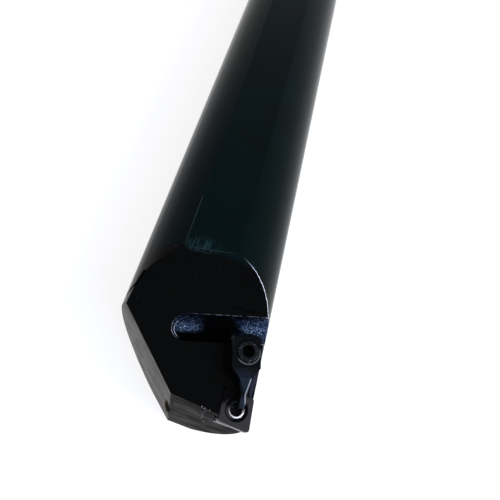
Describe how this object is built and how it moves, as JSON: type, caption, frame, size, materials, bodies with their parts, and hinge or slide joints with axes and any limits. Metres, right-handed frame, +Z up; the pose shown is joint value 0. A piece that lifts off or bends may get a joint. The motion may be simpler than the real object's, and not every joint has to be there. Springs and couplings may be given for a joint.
{
  "type": "boring bar",
  "caption": "Steel boring bar: a round flatted shank and a cut-back head on which a screwed hook clamp pulls a rhombic cutting insert into its pocket.",
  "frame": {"origin": "centre of the shank's rear end face", "axes": "+Y out of the rear end along the bar, so the head lies at -Y; +X to the side that the insert cuts on; +Z up out of the flat that the head is cut from"},
  "size_m": [0.0639, 0.5, 0.059],
  "materials": {
    "bar": "black oxide, satin",
    "insert": "coated carbide, dark grey satin",
    "shim": "ground carbide, uncoated",
    "clamp": "black oxide, blue sheen",
    "screw": "black oxide, satin",
    "spring": "drawn spring steel"
  },
  "bodies": {
    "bar": {"bar_body": "bar", "cutting_insert": "insert", "shim": "shim", "shim_screw": "screw", "clamp_spring": "spring"},
    "clamp": {"hook_clamp": "clamp"},
    "screw": {"clamp_screw": "screw"}
  },
  "joints": [
    {"name": "clamp_lift", "type": "slide", "parent": "bar", "child": "clamp", "axis": [0.1359, -0.2144, 0.9672], "range_m": [0, 0.0032], "deforming": ["clamp_spring"]},
    {"name": "screw_turn", "type": "hinge", "parent": "clamp", "child": "screw", "pos_m": [0.0231, -0.4729, 0.00684], "axis": [0.1359, -0.2144, 0.9672], "range_deg": [0, 1440]}
  ],
  "couplings": [
    {"joint": "screw_turn", "follows": "clamp_lift", "rad_per_m": 7854}
  ]
}
